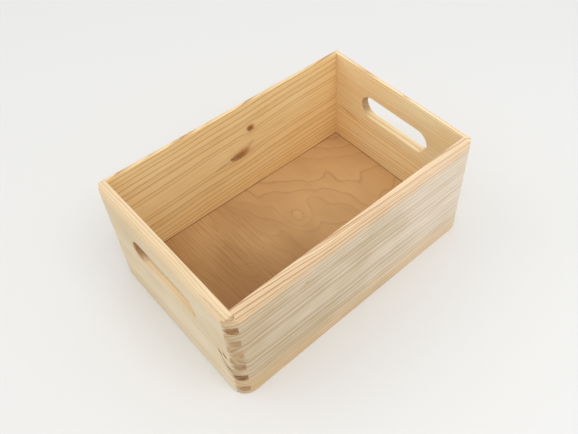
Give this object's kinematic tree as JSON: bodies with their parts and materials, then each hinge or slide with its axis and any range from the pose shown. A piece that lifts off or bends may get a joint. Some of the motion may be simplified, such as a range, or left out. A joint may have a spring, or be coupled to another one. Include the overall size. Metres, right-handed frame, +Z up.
{
  "type": "wooden crate",
  "caption": "Open-topped pine storage crate with finger-jointed rounded corners, a rounded-over rim, a hand slot through each end board and a plywood floor held in grooves.",
  "frame": {"origin": "centre of the crate's footprint, on the surface that it stands on", "axes": "+X along the crate's length, from one slotted end board to the other, +Y across its width, +Z up towards the open top"},
  "size_m": [0.3, 0.2, 0.13],
  "materials": {
    "pine": "bare planed and sanded pine, matt, with growth rings, knots and end grain at the fingers",
    "birch_plywood": "bare sanded birch plywood, matt to satin, with a rotary-cut figure"
  },
  "bodies": {
    "root": {"front_side": "pine", "back_side": "pine", "left_end": "pine", "right_end": "pine", "floor_panel": "birch_plywood"}
  },
  "joints": []
}
